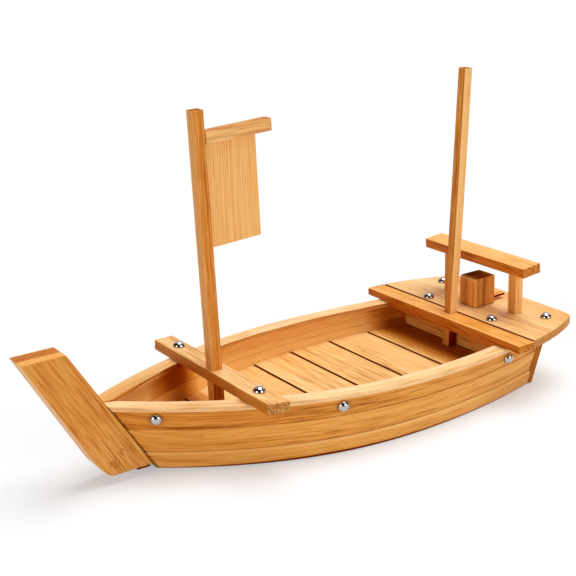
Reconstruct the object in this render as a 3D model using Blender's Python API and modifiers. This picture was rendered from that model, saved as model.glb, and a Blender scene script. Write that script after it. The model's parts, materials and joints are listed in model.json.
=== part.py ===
"""Serving boat for sushi: a planked hull with a slatted floor, an aft deck and two lift-out masts.

Metres, +Z up. The bow points to +X and port is +Y. Hull sizes are measured from the widest
station, and the finished boat stands on z = 0, centred on the origin along its length.
"""
import math

import bmesh
import bpy
from mathutils import Matrix, Vector

# Fits between pieces
GAP = 0.0003
TRANSOM_SLOT = 0.0016
MAST_CLEARANCE = 0.0004
PILOT_CLEARANCE = 0.0003
EASE = 0.0006

# Lines of the hull, at the cap rails' outer edge and at the planking's foot
HALF_BEAM = 0.112
STERN_HALF_BEAM = 0.0917
BOW_HALF_BEAM = 0.0146
FOOT_HALF_BEAM = 0.0984
FOOT_STERN_HALF_BEAM = 0.078
FOOT_BOW_HALF_BEAM = 0.0122
BOW_FULLNESS = 2.1
SHEER_LOW = 0.0617
SHEER_LOW_X = -0.125
SHEER_RISE = 0.0164
SHEER_RUN = 0.4269
ROCKER_START = 0.060
ROCKER_RISE = 0.0037
ROCKER_RUN = 0.202
STATIONS = 36

# Planking
PLANK = 0.0075
WALE_HEIGHT = 0.016
WALE_PROUD = 0.0018
WALE_SLOPE = 0.0026
MIDDLE_STRAKE = 0.0231
CAP_WIDTH = 0.0164
CAP_THICKNESS = 0.0054
CAP_OVERHANG = 0.0016
BOTTOM_BOARD = 0.005
BOTTOM_BOARD_NOSE = 0.010

# Stem and transom
STEM_FOOT_X = 0.2554
STEM_RAKE = math.radians(30.8)
STEM_TOP = 0.1375
STEM_HEAD = 0.0425
STEM_HEEL = 0.0483
STEM_HEEL_Z = 0.0090
STEM_THICKNESS = 0.028
STEM_CUT_RUN = 0.0072
STEM_CUT_RISE = 0.0146
STEM_CUT_BULGE = 0.0026
STEM_EASE = 0.0012
FOREFOOT_LENGTH = 0.014
FOREFOOT_WIDTH = 0.018
FOREFOOT_THICKNESS = 0.004
TRANSOM_FOOT_X = -0.163
TRANSOM_RAKE = math.radians(9.5)
TRANSOM = 0.0075

# Slatted floor
FLOOR_TOP = 0.031
SLAT = 0.005
SLAT_PITCH = 0.0527
SLAT_SEAM = 0.0019
SLAT_DATUM = 0.0800
SLAT_NARROWEST = 0.022
FLOOR_BOW_SPACE = 0.006
BEARERS = 3
BEARER_WIDTH = 0.012
BEARER_PITCH = 0.130
BEARER_MIDDLE_X = 0.030

# Thwarts and aft deck
FRONT_THWART_X = 0.1786
FRONT_THWART_WIDTH = 0.0227
FRONT_THWART_HALF = 0.1071
FRONT_THWART_THICKNESS = 0.0104
FRONT_THWART_SKEW = 0.0032
REAR_THWART_FRONT_X = -0.1052
REAR_THWART_WIDTH = 0.0223
REAR_THWART_HALF = 0.1240
REAR_THWART_THICKNESS = 0.0083
BEAM_WIDTH = 0.0090
BEAM_DEPTH = 0.0042
BEAM_SETBACK = 0.0008
BULKHEAD = 0.0070
BULKHEAD_SET = 0.0016
DECK_THICKNESS = 0.0093
DECK_SEAM = 0.0010
DECK_LENGTH = 0.0895
DECK_FRONT_HALF = 0.1215
DECK_AFT_HALF = 0.0900
DECK_SIDE_BOW = 0.0048
DECK_AFT_BOW = 0.002
DECK_CORNER = 0.006

# Gear on the aft deck
GEAR_INSET = 0.038
CROSSBAR_HALF = 0.0782
CROSSBAR_WIDTH = 0.025
CROSSBAR_THICKNESS = 0.0107
CROSSBAR_SET = 0.0133
CROSSBAR_TILT = math.radians(5.3)
POST = 0.0113
POST_HEIGHT = 0.0510
PORT_POST_Y = 0.0531
STARBOARD_POST_Y = -0.0613
BLOCK_LENGTH = 0.0298
BLOCK_WIDTH = 0.0259
BLOCK_HEIGHT = 0.0335
BLOCK_SET = 0.0014
BLOCK_Y = -0.0012
BLOCK_ROUND = 0.0042
BLOCK_EASE = 0.0016
TILLER_LENGTH = 0.0198
TILLER_WIDTH = 0.0113
TILLER_THICKNESS = 0.0024
TILLER_RISE = 0.004
TILLER_TENON = 0.008

# Masts, boom and sail
FRONT_MAST = 0.0117
FRONT_MAST_WALL = 0.0025
FRONT_MAST_TOP = 0.3329
FRONT_MAST_RAKE = math.radians(1.4)
FRONT_MAST_LIST = math.radians(0.0)
REAR_MAST = 0.0102
REAR_MAST_SET = 0.0041
REAR_MAST_TOP = 0.3379
REAR_MAST_RAKE = math.radians(-2.3)
REAR_MAST_LIST = math.radians(1.3)
BOOM_LENGTH = 0.072
BOOM_HEIGHT = 0.0121
BOOM_WIDTH = 0.0118
BOOM_DROP = 0.0205
BOOM_PEAK = math.radians(1.8)
TENON_LENGTH = 0.005
TENON_HEIGHT = 0.007
TENON_WIDTH = 0.005
SAIL_WIDTH = 0.0555
SAIL_HEIGHT = 0.0985
SAIL_THICKNESS = 0.004
SAIL_TONGUE = 0.003

# Dome-head nails
DOME = 0.0124
DOME_HEIGHT = 0.0053
SHANK = 0.0020
SHORT_SHANK = 0.0062
LONG_SHANK = 0.0134
SIDE_NAIL_X = (0.2640, 0.0998, -0.1141)
SIDE_NAIL_DEPTH = 0.0131
THWART_NAIL_Y = 0.0745
DECK_NAIL_FRONT = 0.0094
DECK_NAIL_FRONT_Y = 0.0493
DECK_NAIL_AFT = 0.0301
DECK_NAIL_AFT_EDGE = 0.0245
STARBOARD_NAILS_AHEAD = 0.0022
STARBOARD_NAILS_OUT = 0.0014


def lerp(a, b, t):
    return a + (b - a) * t


def sheer(x):
    """Height of the cap rails' top."""
    return SHEER_LOW + SHEER_RISE * ((x - SHEER_LOW_X) / SHEER_RUN) ** 2


def rocker(x):
    """Height of the hull's underside, flat aft and rising to the bow."""
    return ROCKER_RISE * (max(0.0, x - ROCKER_START) / ROCKER_RUN) ** 2


def stem_aft(z):
    return STEM_FOOT_X + z * math.tan(STEM_RAKE)


def transom_front(z):
    return TRANSOM_FOOT_X - z * math.tan(TRANSOM_RAKE)


def meeting(face, line):
    """Where a raked end face meets one of the hull's long lines."""
    x = face(0.0)
    for _ in range(30):
        x = face(line(x))
    return x


FOOT_ENDS = (meeting(transom_front, rocker) + GAP, meeting(stem_aft, rocker) - GAP)
HEAD_ENDS = (meeting(transom_front, sheer) + GAP, meeting(stem_aft, sheer) - GAP)


def half_breadth(x, ends, beam, stern, bow):
    """Half width of one hull line, widest at x = 0 and drawn in to both ends."""
    if x < 0.0:
        return lerp(beam, stern, (x / ends[0]) ** 2)
    return lerp(beam, bow, (x / ends[1]) ** BOW_FULLNESS)


def foot(s):
    """The planking's lower edge at station s, from 0 at the transom to 1 at the stem."""
    x = lerp(*FOOT_ENDS, s)
    y = half_breadth(x, FOOT_ENDS, FOOT_HALF_BEAM, FOOT_STERN_HALF_BEAM, FOOT_BOW_HALF_BEAM)
    return Vector((x, y, rocker(x)))


def head(s):
    """The planking's outer face carried up to the sheer at station s."""
    x = lerp(*HEAD_ENDS, s)
    y = half_breadth(x, HEAD_ENDS, HALF_BEAM, STERN_HALF_BEAM, BOW_HALF_BEAM)
    return Vector((x, y - CAP_OVERHANG, sheer(x)))


def side_height(s):
    return head(s).z - foot(s).z


def skin_normal(s, v):
    step = 0.01
    along = foot(s + step).lerp(head(s + step), v) - foot(s - step).lerp(head(s - step), v)
    return (head(s) - foot(s)).cross(along).normalized()


def skin(s, v, out=0.0):
    """Point of the planking at station s and height v, moved out by a thickness.

    The move is level and square to the keel, so every station stays in the plane of its rake,
    and it stops at the keel plane, where the two sides mitre.
    """
    p = foot(s).lerp(head(s), v)
    return Vector((p.x, max(GAP / 2, p.y + out / skin_normal(s, v).y), p.z))


def locate(x, z):
    """Station and height of the planking's point at this x and z."""
    s, v = 0.5, 0.5
    for _ in range(40):
        aft, fore = (lerp(f, h, v) for f, h in zip(FOOT_ENDS, HEAD_ENDS))
        s = (x - aft) / (fore - aft)
        v = (z - foot(s).z) / side_height(s)
    return s, v


def inner_half(x, z):
    """Half width of the space between the planks."""
    return skin(*locate(x, z), -PLANK).y


def principled(name, rgb, roughness, metallic=0.0):
    material = bpy.data.materials.new(name)
    material.use_nodes = True
    shader = material.node_tree.nodes["Principled BSDF"]
    shader.inputs["Base Color"].default_value = (*rgb, 1.0)
    shader.inputs["Roughness"].default_value = roughness
    shader.inputs["Metallic"].default_value = metallic
    return material


for leftover in list(bpy.data.objects):
    bpy.data.objects.remove(leftover)
parts = bpy.data.collections.new("sushi_boat")
cutters = bpy.data.collections.new("cutters")
bpy.context.scene.collection.children.link(parts)
bpy.context.scene.collection.children.link(cutters)

HONEY = principled("honey bamboo", (0.62, 0.33, 0.11), 0.45)
PALE = principled("pale bamboo", (0.75, 0.46, 0.19), 0.45)
AMBER = principled("amber bamboo", (0.56, 0.25, 0.06), 0.42)
NICKEL = principled("polished nickel", (0.75, 0.74, 0.72), 0.12, 1.0)

DECK_FRONT_X = REAR_THWART_FRONT_X - REAR_THWART_WIDTH - DECK_SEAM
DECK_AFT_X = DECK_FRONT_X - DECK_LENGTH
DECK_UNDER = max(sheer(REAR_THWART_FRONT_X), sheer(DECK_FRONT_X), sheer(HEAD_ENDS[0])) + GAP
DECK_TOP = DECK_UNDER + DECK_THICKNESS
STEM_TIP_X = stem_aft(STEM_TOP) + STEM_HEAD

boat = bpy.data.objects.new("boat", None)
boat.location.x = -(STEM_TIP_X + DECK_AFT_X) / 2
parts.objects.link(boat)


def place(name, mesh, material, parent=boat, matrix=Matrix.Identity(4), ease=0.0):
    """Put a mesh into the boat as one named piece, its edges eased by a small round."""
    piece = bpy.data.objects.new(name, mesh)
    piece.parent = parent
    piece.matrix_local = matrix
    if material and not mesh.materials:
        mesh.materials.append(material)
    parts.objects.link(piece)
    if ease:
        bevel = piece.modifiers.new("eased edges", "BEVEL")
        bevel.width = ease
        bevel.segments = 2
        bevel.limit_method = "ANGLE"
        bevel.angle_limit = math.radians(40)
    return piece


def loft(name, sections, material, ease=0.0):
    """A solid through rings of equally many points, closed at both ends."""
    bm = bmesh.new()
    rings = [[bm.verts.new(p) for p in section] for section in sections]
    for near, far in zip(rings, rings[1:]):
        for i in range(len(near)):
            j = (i + 1) % len(near)
            bm.faces.new((near[i], near[j], far[j], far[i]))
    bm.faces.new(rings[0])
    bm.faces.new(rings[-1])
    bmesh.ops.recalc_face_normals(bm, faces=bm.faces)
    mesh = bpy.data.meshes.new(name)
    bm.to_mesh(mesh)
    bm.free()
    return place(name, mesh, material, ease=ease)


def board(name, outline, thickness, material, parent=boat, matrix=Matrix.Identity(4), ease=EASE):
    """A flat board: its outline as a filled 2D curve, extruded both ways."""
    curve = bpy.data.curves.new(name, "CURVE")
    curve.dimensions = "2D"
    curve.fill_mode = "BOTH"
    curve.extrude = thickness / 2
    spline = curve.splines.new("POLY")
    spline.points.add(len(outline) - 1)
    for point, (x, y) in zip(spline.points, outline):
        point.co = (x, y, 0.0, 1.0)
    spline.use_cyclic_u = True
    drawn = bpy.data.objects.new(name, curve)
    parts.objects.link(drawn)
    evaluated = drawn.evaluated_get(bpy.context.evaluated_depsgraph_get())
    mesh = bpy.data.meshes.new_from_object(evaluated)
    bpy.data.objects.remove(drawn)
    bm = bmesh.new()
    bm.from_mesh(mesh)
    bmesh.ops.remove_doubles(bm, verts=bm.verts, dist=0.00002)
    bmesh.ops.dissolve_limit(bm, angle_limit=0.001, verts=bm.verts, edges=bm.edges)
    bmesh.ops.recalc_face_normals(bm, faces=bm.faces)
    bm.to_mesh(mesh)
    bm.free()
    mesh.name = name
    return place(name, mesh, material, parent, matrix, ease)


def block_mesh(name, size, centre):
    bm = bmesh.new()
    fit = Matrix.Translation(centre) @ Matrix.Diagonal((*size, 1.0))
    bmesh.ops.create_cube(bm, size=1.0, matrix=fit)
    mesh = bpy.data.meshes.new(name)
    bm.to_mesh(mesh)
    bm.free()
    return mesh


def timber(name, size, centre, material, parent=boat, ease=EASE):
    """A squared length of wood."""
    return place(name, block_mesh(name, size, centre), material, parent, ease=ease)


def cut(piece, cutter_mesh, parent=boat, matrix=Matrix.Identity(4)):
    """Take a cutter's shape out of a piece."""
    cutter = bpy.data.objects.new(piece.name + " cutter", cutter_mesh)
    cutter.parent = parent
    cutter.matrix_local = matrix
    cutter.hide_render = True
    cutter.display_type = "WIRE"
    cutters.objects.link(cutter)
    boolean = piece.modifiers.new("cut", "BOOLEAN")
    boolean.operation = "DIFFERENCE"
    boolean.object = cutter


def stations(aft=0.0):
    return [lerp(aft, 1.0, i / STATIONS) for i in range(STATIONS + 1)]


def on_side(p, side):
    return Vector((p.x, p.y * side, p.z))


# Planking, port and starboard
def wale_line(s):
    return WALE_HEIGHT / SHEER_LOW


def seam_line(s):
    return (WALE_HEIGHT + MIDDLE_STRAKE) / SHEER_LOW


def cap_line(s):
    return 1.0 - CAP_THICKNESS / side_height(s)


def keel_line(s):
    return 0.0


# The wales run close to the transom, the planks above them stop short at a slot
slot_station = (TRANSOM_SLOT - GAP) / (FOOT_ENDS[1] - FOOT_ENDS[0])


def strake(name, side, low, high, aft, proud=0.0, shoulder=(EASE, EASE)):
    """A plank between two lines of the side, its upper outer edge sloped by the shoulder."""
    sections = []
    for s in stations(aft):
        h = side_height(s)
        bottom = low(s) + (GAP / 2 / h if low(s) else 0.0)
        top = high(s) - GAP / 2 / h
        ring = ((bottom, proud - EASE), (bottom + EASE / h, proud),
                (top - shoulder[1] / h, proud), (top, proud - shoulder[0]),
                (top, -PLANK), (bottom, -PLANK))
        sections.append([on_side(skin(s, v, out), side) for v, out in ring])
    return loft(name, sections, HONEY)


def cap_rail(name, side):
    """The rail laid on the planks' top edge, overhanging them on both faces."""
    sections = []
    for s in stations(slot_station):
        h = side_height(s)
        low = cap_line(s) + GAP / 2 / h
        outer = skin(s, 1.0, CAP_OVERHANG).y
        inner = skin(s, 1.0, CAP_OVERHANG - CAP_WIDTH).y
        ring = ((outer - EASE, low), (outer, low + EASE / h),
                (outer, 1.0 - EASE / h), (outer - EASE, 1.0),
                (inner + EASE, 1.0), (inner, 1.0 - EASE / h),
                (inner, low + EASE / h), (inner + EASE, low))
        section = []
        for y, v in ring:
            p = skin(s, v)
            section.append(Vector((p.x, y * side, p.z)))
        sections.append(section)
    return loft(name, sections, PALE)


upper_strakes, cap_rails = {}, {}
for hand, side in (("port", 1), ("starboard", -1)):
    strake(f"{hand}_wale", side, keel_line, wale_line, 0.0, WALE_PROUD, (WALE_PROUD, WALE_SLOPE))
    strake(f"{hand}_middle_strake", side, wale_line, seam_line, slot_station)
    upper_strakes[side] = strake(f"{hand}_upper_strake", side, seam_line, cap_line, slot_station)
    cap_rails[side] = cap_rail(f"{hand}_cap_rail", side)


# Bottom board between the wales, following the rocker
def bottom_section(x):
    low = rocker(x)
    high = low + BOTTOM_BOARD
    narrow = inner_half(x, low) - GAP
    wide = inner_half(x, high) - GAP
    return [Vector(p) for p in ((x, narrow, low), (x, wide, high), (x, -wide, high), (x, -narrow, low))]


nose_x = FOOT_ENDS[1]
while inner_half(nose_x, rocker(nose_x)) < BOTTOM_BOARD_NOSE:
    nose_x -= 0.001
tail_x = transom_front(0.0) + GAP
loft("bottom_board", [bottom_section(lerp(tail_x, nose_x, s)) for s in stations()], HONEY)

# Stem: a raked plank with its lower corner cut to a full curve, on a small forefoot
lying = Matrix.Rotation(math.pi / 2, 4, "X")
heel_x = stem_aft(STEM_HEEL_Z)
head_x = stem_aft(STEM_TOP)
heel_front = heel_x + STEM_HEEL
cut_share = STEM_CUT_RISE / (STEM_TOP - STEM_HEEL_Z)
cut_low = Vector((heel_front - STEM_CUT_RUN, STEM_HEEL_Z))
cut_high = Vector((lerp(heel_front, STEM_TIP_X, cut_share), STEM_HEEL_Z + STEM_CUT_RISE))
cut_middle = (cut_low + cut_high) / 2
cut_tip = cut_middle + (Vector((heel_front, STEM_HEEL_Z)) - cut_middle).normalized() * STEM_CUT_BULGE * 2
cut_curve = []
for i in range(9):
    t = i / 8
    cut_curve.append(tuple(cut_low.lerp(cut_tip, t).lerp(cut_tip.lerp(cut_high, t), t)))
stem_outline = [(heel_x, STEM_HEEL_Z)] + cut_curve + [(STEM_TIP_X, STEM_TOP), (head_x, STEM_TOP)]
board("stem", stem_outline, STEM_THICKNESS, HONEY, matrix=lying, ease=STEM_EASE)

timber("forefoot", (FOREFOOT_LENGTH, FOREFOOT_WIDTH, FOREFOOT_THICKNESS),
       (heel_x + GAP + FOREFOOT_LENGTH / 2, 0.0, STEM_HEEL_Z - GAP - FOREFOOT_THICKNESS / 2), AMBER)

# Transom, raked, closing the planks' after ends
transom_top = DECK_UNDER - GAP
transom_foot_half = foot(0.0).y + WALE_PROUD
transom_head_half = lerp(foot(0.0).y, head(0.0).y, transom_top / side_height(0.0))
transom_face = []
for y, z in ((transom_foot_half, 0.0), (transom_head_half, transom_top),
             (-transom_head_half, transom_top), (-transom_foot_half, 0.0)):
    transom_face.append(Vector((transom_front(z), y, z)))
aftward = Vector((-TRANSOM / math.cos(TRANSOM_RAKE), 0.0, 0.0))
loft("transom", [transom_face, [p + aftward for p in transom_face]], HONEY, ease=EASE)

# Bearers on the bottom board, and the slats across them
floor_under = FLOOR_TOP - SLAT
for i in range(BEARERS):
    middle = BEARER_MIDDLE_X + (i - (BEARERS - 1) / 2) * BEARER_PITCH
    low = rocker(middle + BEARER_WIDTH / 2) + BOTTOM_BOARD + GAP
    high = floor_under - GAP
    faces = []
    for x in (middle - BEARER_WIDTH / 2, middle + BEARER_WIDTH / 2):
        narrow = inner_half(x, low) - GAP
        wide = inner_half(x, high) - GAP
        face = ((x, narrow, low), (x, wide, high), (x, -wide, high), (x, -narrow, low))
        faces.append([Vector(p) for p in face])
    loft(f"floor_bearer_{i + 1}", faces, AMBER)


def slat_ring(aft, fore, z):
    """Outline of a slat at one level: straight seams, ends scribed to the planks."""
    aft = max(aft, transom_front(z) + GAP)
    fore = min(fore, stem_aft(floor_under) - FLOOR_BOW_SPACE)
    xs = [lerp(aft, fore, i / 4) for i in range(5)]
    port = [Vector((x, inner_half(x, z) - GAP, z)) for x in xs]
    return port + [on_side(p, -1) for p in reversed(port)]


floor_aft = transom_front(FLOOR_TOP)
floor_fore = stem_aft(floor_under) - FLOOR_BOW_SPACE
first = math.ceil((floor_aft + SLAT_NARROWEST - SLAT_DATUM) / SLAT_PITCH)
last = math.floor((floor_fore - SLAT_NARROWEST - SLAT_DATUM) / SLAT_PITCH)
seams = [SLAT_DATUM + k * SLAT_PITCH for k in range(first, last + 1)]
edges = [floor_aft - SLAT] + seams + [floor_fore + SLAT]
for i, (aft, fore) in enumerate(zip(edges, edges[1:])):
    aft += SLAT_SEAM / 2
    fore -= SLAT_SEAM / 2
    loft(f"floor_slat_{i + 1}", [slat_ring(aft, fore, z) for z in (floor_under, FLOOR_TOP)], HONEY)

# Front thwart, lying on the sheer's slope
front_tilt = math.atan(2 * SHEER_RISE * (FRONT_THWART_X - SHEER_LOW_X) / SHEER_RUN ** 2)
front_seat = Matrix.Translation((FRONT_THWART_X, 0.0, sheer(FRONT_THWART_X)))
front_seat @= Matrix.Rotation(-front_tilt, 4, "Y")
front_rise = GAP + FRONT_THWART_THICKNESS / 2
half_width = FRONT_THWART_WIDTH / 2
fore_half = FRONT_THWART_HALF - FRONT_THWART_SKEW / 2
aft_half = FRONT_THWART_HALF + FRONT_THWART_SKEW / 2
front_thwart = board(
    "front_thwart",
    ((half_width, -fore_half), (half_width, fore_half), (-half_width, aft_half), (-half_width, -aft_half)),
    FRONT_THWART_THICKNESS, PALE, matrix=front_seat @ Matrix.Translation((0.0, 0.0, front_rise)))

# Rear thwart with the beam under it, and the aft deck behind
deck_middle = DECK_UNDER + DECK_THICKNESS / 2
rear_aft_x = REAR_THWART_FRONT_X - REAR_THWART_WIDTH
rear_top_z = DECK_UNDER + REAR_THWART_THICKNESS
rear_thwart = timber(
    "rear_thwart", (REAR_THWART_WIDTH, 2 * REAR_THWART_HALF, REAR_THWART_THICKNESS),
    (REAR_THWART_FRONT_X - REAR_THWART_WIDTH / 2, 0.0, DECK_UNDER + REAR_THWART_THICKNESS / 2), AMBER)


def cap_inner(x):
    """Half width between the cap rails."""
    return skin(locate(x, sheer(x))[0], 1.0, CAP_OVERHANG - CAP_WIDTH).y


beam_fore_x = REAR_THWART_FRONT_X - BEAM_SETBACK
beam_faces = []
for x in (beam_fore_x, beam_fore_x - BEAM_WIDTH):
    half = cap_inner(x) - 2 * GAP
    high = DECK_UNDER - GAP
    low = high - BEAM_DEPTH
    face = ((x, half, low), (x, half, high), (x, -half, high), (x, -half, low))
    beam_faces.append([Vector(p) for p in face])
loft("deck_beam", beam_faces, AMBER)


def deck_half(x):
    """Half width of the aft deck, drawn in aft along a slight curve."""
    u = (DECK_FRONT_X - x) / DECK_LENGTH
    return lerp(DECK_FRONT_HALF, DECK_AFT_HALF, u) + DECK_SIDE_BOW * 4 * u * (1 - u)


def deck_aft(y):
    """The aft deck's rounded after edge."""
    return DECK_AFT_X + DECK_AFT_BOW * (y / DECK_AFT_HALF) ** 2


corner_x = DECK_AFT_X + DECK_AFT_BOW + DECK_CORNER
side_points = [(x, deck_half(x)) for x in (lerp(DECK_FRONT_X, corner_x, i / 8) for i in range(9))]
corner_from = Vector(side_points[-1])
corner_y = DECK_AFT_HALF - DECK_CORNER
corner_to = Vector((deck_aft(corner_y), corner_y))
corner_tip = Vector((deck_aft(DECK_AFT_HALF), deck_half(DECK_AFT_X + DECK_AFT_BOW)))
corner_points = []
for i in range(1, 6):
    t = i / 6
    corner_points.append(tuple(corner_from.lerp(corner_tip, t).lerp(corner_tip.lerp(corner_to, t), t)))
aft_points = [(deck_aft(y), y) for y in (corner_y * (1 - i / 5) for i in range(6))]
port_outline = side_points + corner_points + aft_points
deck_outline = port_outline + [(x, -y) for x, y in reversed(port_outline[:-1])]
aft_deck = board("aft_deck", deck_outline, DECK_THICKNESS, PALE,
                 matrix=Matrix.Translation((0.0, 0.0, deck_middle)))

# Crossbar, its front edge dipped, on two posts
gear_aft_x = DECK_AFT_X + GEAR_INSET
gear_foot = DECK_TOP + GAP
crossbar_x = gear_aft_x + CROSSBAR_SET


def crossbar_under(x):
    """Height of the crossbar's underside, from the middle of the posts' tops."""
    dip = (x - gear_aft_x - POST / 2) * math.tan(CROSSBAR_TILT)
    return gear_foot + POST_HEIGHT + GAP - dip


crossbar_z = crossbar_under(crossbar_x) + CROSSBAR_THICKNESS / 2 / math.cos(CROSSBAR_TILT)
crossbar_seat = Matrix.Translation((crossbar_x, 0.0, crossbar_z)) @ Matrix.Rotation(CROSSBAR_TILT, 4, "Y")
crossbar_size = (CROSSBAR_WIDTH, 2 * CROSSBAR_HALF, CROSSBAR_THICKNESS)
crossbar_mesh = block_mesh("crossbar", crossbar_size, (0.0, 0.0, 0.0))
place("crossbar", crossbar_mesh, AMBER, matrix=crossbar_seat, ease=EASE)
post_outline = [(gear_aft_x, gear_foot), (gear_aft_x + POST, gear_foot)]
for x in (gear_aft_x + POST, gear_aft_x):
    post_outline.append((x, crossbar_under(x) - GAP))
for hand, y in (("port", PORT_POST_Y - POST / 2), ("starboard", STARBOARD_POST_Y + POST / 2)):
    board(f"{hand}_post", post_outline, POST, HONEY, matrix=Matrix.Translation((0.0, y, 0.0)) @ lying)

# Block with a rounded front edge, and the short tiller in its mortise
block_aft = gear_aft_x + BLOCK_SET
block_fore = block_aft + BLOCK_LENGTH
block_top = gear_foot + BLOCK_HEIGHT
block_outline = [(block_aft, gear_foot), (block_fore, gear_foot)]
for i in range(7):
    a = i / 6 * math.pi / 2
    block_outline.append((block_fore - BLOCK_ROUND * (1 - math.cos(a)),
                          block_top - BLOCK_ROUND * (1 - math.sin(a))))
block_outline.append((block_aft, block_top))
deck_block = board("deck_block", block_outline, BLOCK_WIDTH, HONEY, ease=BLOCK_EASE,
                   matrix=Matrix.Translation((0.0, BLOCK_Y, 0.0)) @ lying)
tiller_size = Vector((TILLER_LENGTH + TILLER_TENON, TILLER_WIDTH, TILLER_THICKNESS))
tiller_centre = Vector((gear_aft_x + TILLER_TENON - tiller_size.x / 2, 0.0,
                        DECK_TOP + TILLER_RISE + TILLER_THICKNESS / 2))
timber("tiller", tiller_size, tiller_centre, PALE, ease=EASE / 2)
mortise_size = tiller_size + Vector((2 * GAP, 2 * GAP, 2 * GAP))
cut(deck_block, block_mesh("tiller mortise", mortise_size, tiller_centre))


# Masts through their thwarts, each in a frame at its foot that leans with it
def mast_frame(name, size, x, z, rake, lean):
    """An empty on the floor whose Z axis is the mast, passing over the keel at this x and z."""
    lift = GAP + size / 2 * (math.sin(abs(rake)) + math.sin(abs(lean)))
    foot_z = FLOOR_TOP + lift
    frame = bpy.data.objects.new(name, None)
    frame.parent = boat
    frame.location = (x - (z - foot_z) * math.tan(rake), -(z - foot_z) * math.tan(lean), foot_z)
    frame.rotation_euler = (-lean, rake, 0.0)
    parts.objects.link(frame)
    return frame


def mast_length(frame, top):
    return (top - frame.location.z) / (math.cos(frame.rotation_euler.x) * math.cos(frame.rotation_euler.y))


def square_hole(piece, frame, size, length):
    width = size + 2 * MAST_CLEARANCE
    cut(piece, block_mesh("mast hole", (width, width, length), (0.0, 0.0, length / 2)), frame)


front_top_z = sheer(FRONT_THWART_X) + GAP + FRONT_THWART_THICKNESS
front_mast_x = FRONT_THWART_X + half_width - FRONT_MAST_WALL - MAST_CLEARANCE - FRONT_MAST / 2
front_frame = mast_frame("front_mast_frame", FRONT_MAST, front_mast_x, front_top_z,
                         FRONT_MAST_RAKE, FRONT_MAST_LIST)
front_length = mast_length(front_frame, FRONT_MAST_TOP)
front_mast = timber("front_mast", (FRONT_MAST, FRONT_MAST, front_length), (0.0, 0.0, front_length / 2),
                    HONEY, front_frame)
square_hole(front_thwart, front_frame, FRONT_MAST, front_length)

rear_mast_x = rear_aft_x + REAR_MAST_SET
rear_frame = mast_frame("rear_mast_frame", REAR_MAST, rear_mast_x, rear_top_z,
                        REAR_MAST_RAKE, REAR_MAST_LIST)
rear_length = mast_length(rear_frame, REAR_MAST_TOP)
timber("rear_mast", (REAR_MAST, REAR_MAST, rear_length), (0.0, 0.0, rear_length / 2), HONEY, rear_frame)
square_hole(rear_thwart, rear_frame, REAR_MAST, rear_length)
square_hole(aft_deck, rear_frame, REAR_MAST, rear_length)

# Bulkhead close behind the rear mast, notched under the cap rails
bulkhead_fore_x = rear_mast_x - REAR_MAST / 2 - MAST_CLEARANCE - BULKHEAD_SET
bulkhead_faces = []
for x in (bulkhead_fore_x, bulkhead_fore_x - BULKHEAD):
    low = FLOOR_TOP + GAP
    notch = sheer(x) - CAP_THICKNESS - 2 * GAP
    high = DECK_UNDER - GAP
    neck = cap_inner(x) - 2 * GAP
    port = ((inner_half(x, low) - GAP, low), (inner_half(x, notch) - GAP, notch), (neck, notch), (neck, high))
    face = [Vector((x, y, z)) for y, z in port]
    bulkhead_faces.append(face + [on_side(p, -1) for p in reversed(face)])
loft("bulkhead", bulkhead_faces, HONEY)

# Boom tenoned into the front mast, and the sail in the boom's groove
boom_fore = -FRONT_MAST / 2 - GAP
boom_aft = boom_fore - BOOM_LENGTH
boom_top = front_length - BOOM_DROP


def boom_line(x, drop):
    """Height of a line parallel to the peaked boom, this far below its top."""
    return boom_top - drop + (boom_fore - x) * math.tan(BOOM_PEAK)


tenon_fore = boom_fore + TENON_LENGTH
tenon_top = (BOOM_HEIGHT - TENON_HEIGHT) / 2
boom_outline = [(boom_fore, boom_line(boom_fore, 0.0)), (boom_aft, boom_line(boom_aft, 0.0)),
                (boom_aft, boom_line(boom_aft, BOOM_HEIGHT)), (boom_fore, boom_line(boom_fore, BOOM_HEIGHT))]
boom = board("boom", boom_outline, BOOM_WIDTH, HONEY, front_frame, lying)
tenon_middle = (tenon_fore + boom_fore) / 2
tenon_centre = Vector((tenon_middle, 0.0, boom_line(boom_fore, BOOM_HEIGHT / 2)))
tenon_size = (TENON_LENGTH + 2 * GAP, TENON_WIDTH, TENON_HEIGHT)
tenon = block_mesh("tenon", tenon_size, tenon_centre - Vector((GAP, 0.0, 0.0)))
joined = bpy.data.objects.new("tenon", tenon)
joined.parent = front_frame
joined.hide_render = True
joined.display_type = "WIRE"
cutters.objects.link(joined)
union = boom.modifiers.new("tenon", "BOOLEAN")
union.operation = "UNION"
union.object = joined
mortise = (TENON_LENGTH + 4 * GAP, TENON_WIDTH + 2 * GAP, TENON_HEIGHT + 2 * GAP)
cut(front_mast, block_mesh("mortise", mortise, tenon_centre), front_frame)

sail_aft = boom_fore - SAIL_WIDTH
sail_high = BOOM_HEIGHT - SAIL_TONGUE
sail_low = BOOM_HEIGHT + SAIL_HEIGHT
sail_outline = [(boom_fore, boom_line(boom_fore, sail_high)), (sail_aft, boom_line(sail_aft, sail_high)),
                (sail_aft, boom_line(sail_aft, sail_low)), (boom_fore, boom_line(boom_fore, sail_low))]
board("sail", sail_outline, SAIL_THICKNESS, PALE, front_frame, lying, ease=EASE / 2)
groove_x = (boom_fore + GAP, sail_aft - GAP)
groove = [Vector((x, 0.0, boom_line(x, drop))) for x, drop in (
    (groove_x[0], sail_high - GAP), (groove_x[1], sail_high - GAP),
    (groove_x[1], sail_low), (groove_x[0], sail_low))]
groove_half = Vector((0.0, SAIL_THICKNESS / 2 + GAP, 0.0))
groove_faces = [[p - groove_half for p in groove], [p + groove_half for p in groove]]
groove_piece = loft("sail groove", groove_faces, None)
groove_mesh = groove_piece.data
bpy.data.objects.remove(groove_piece)
cut(boom, groove_mesh, front_frame)


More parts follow.
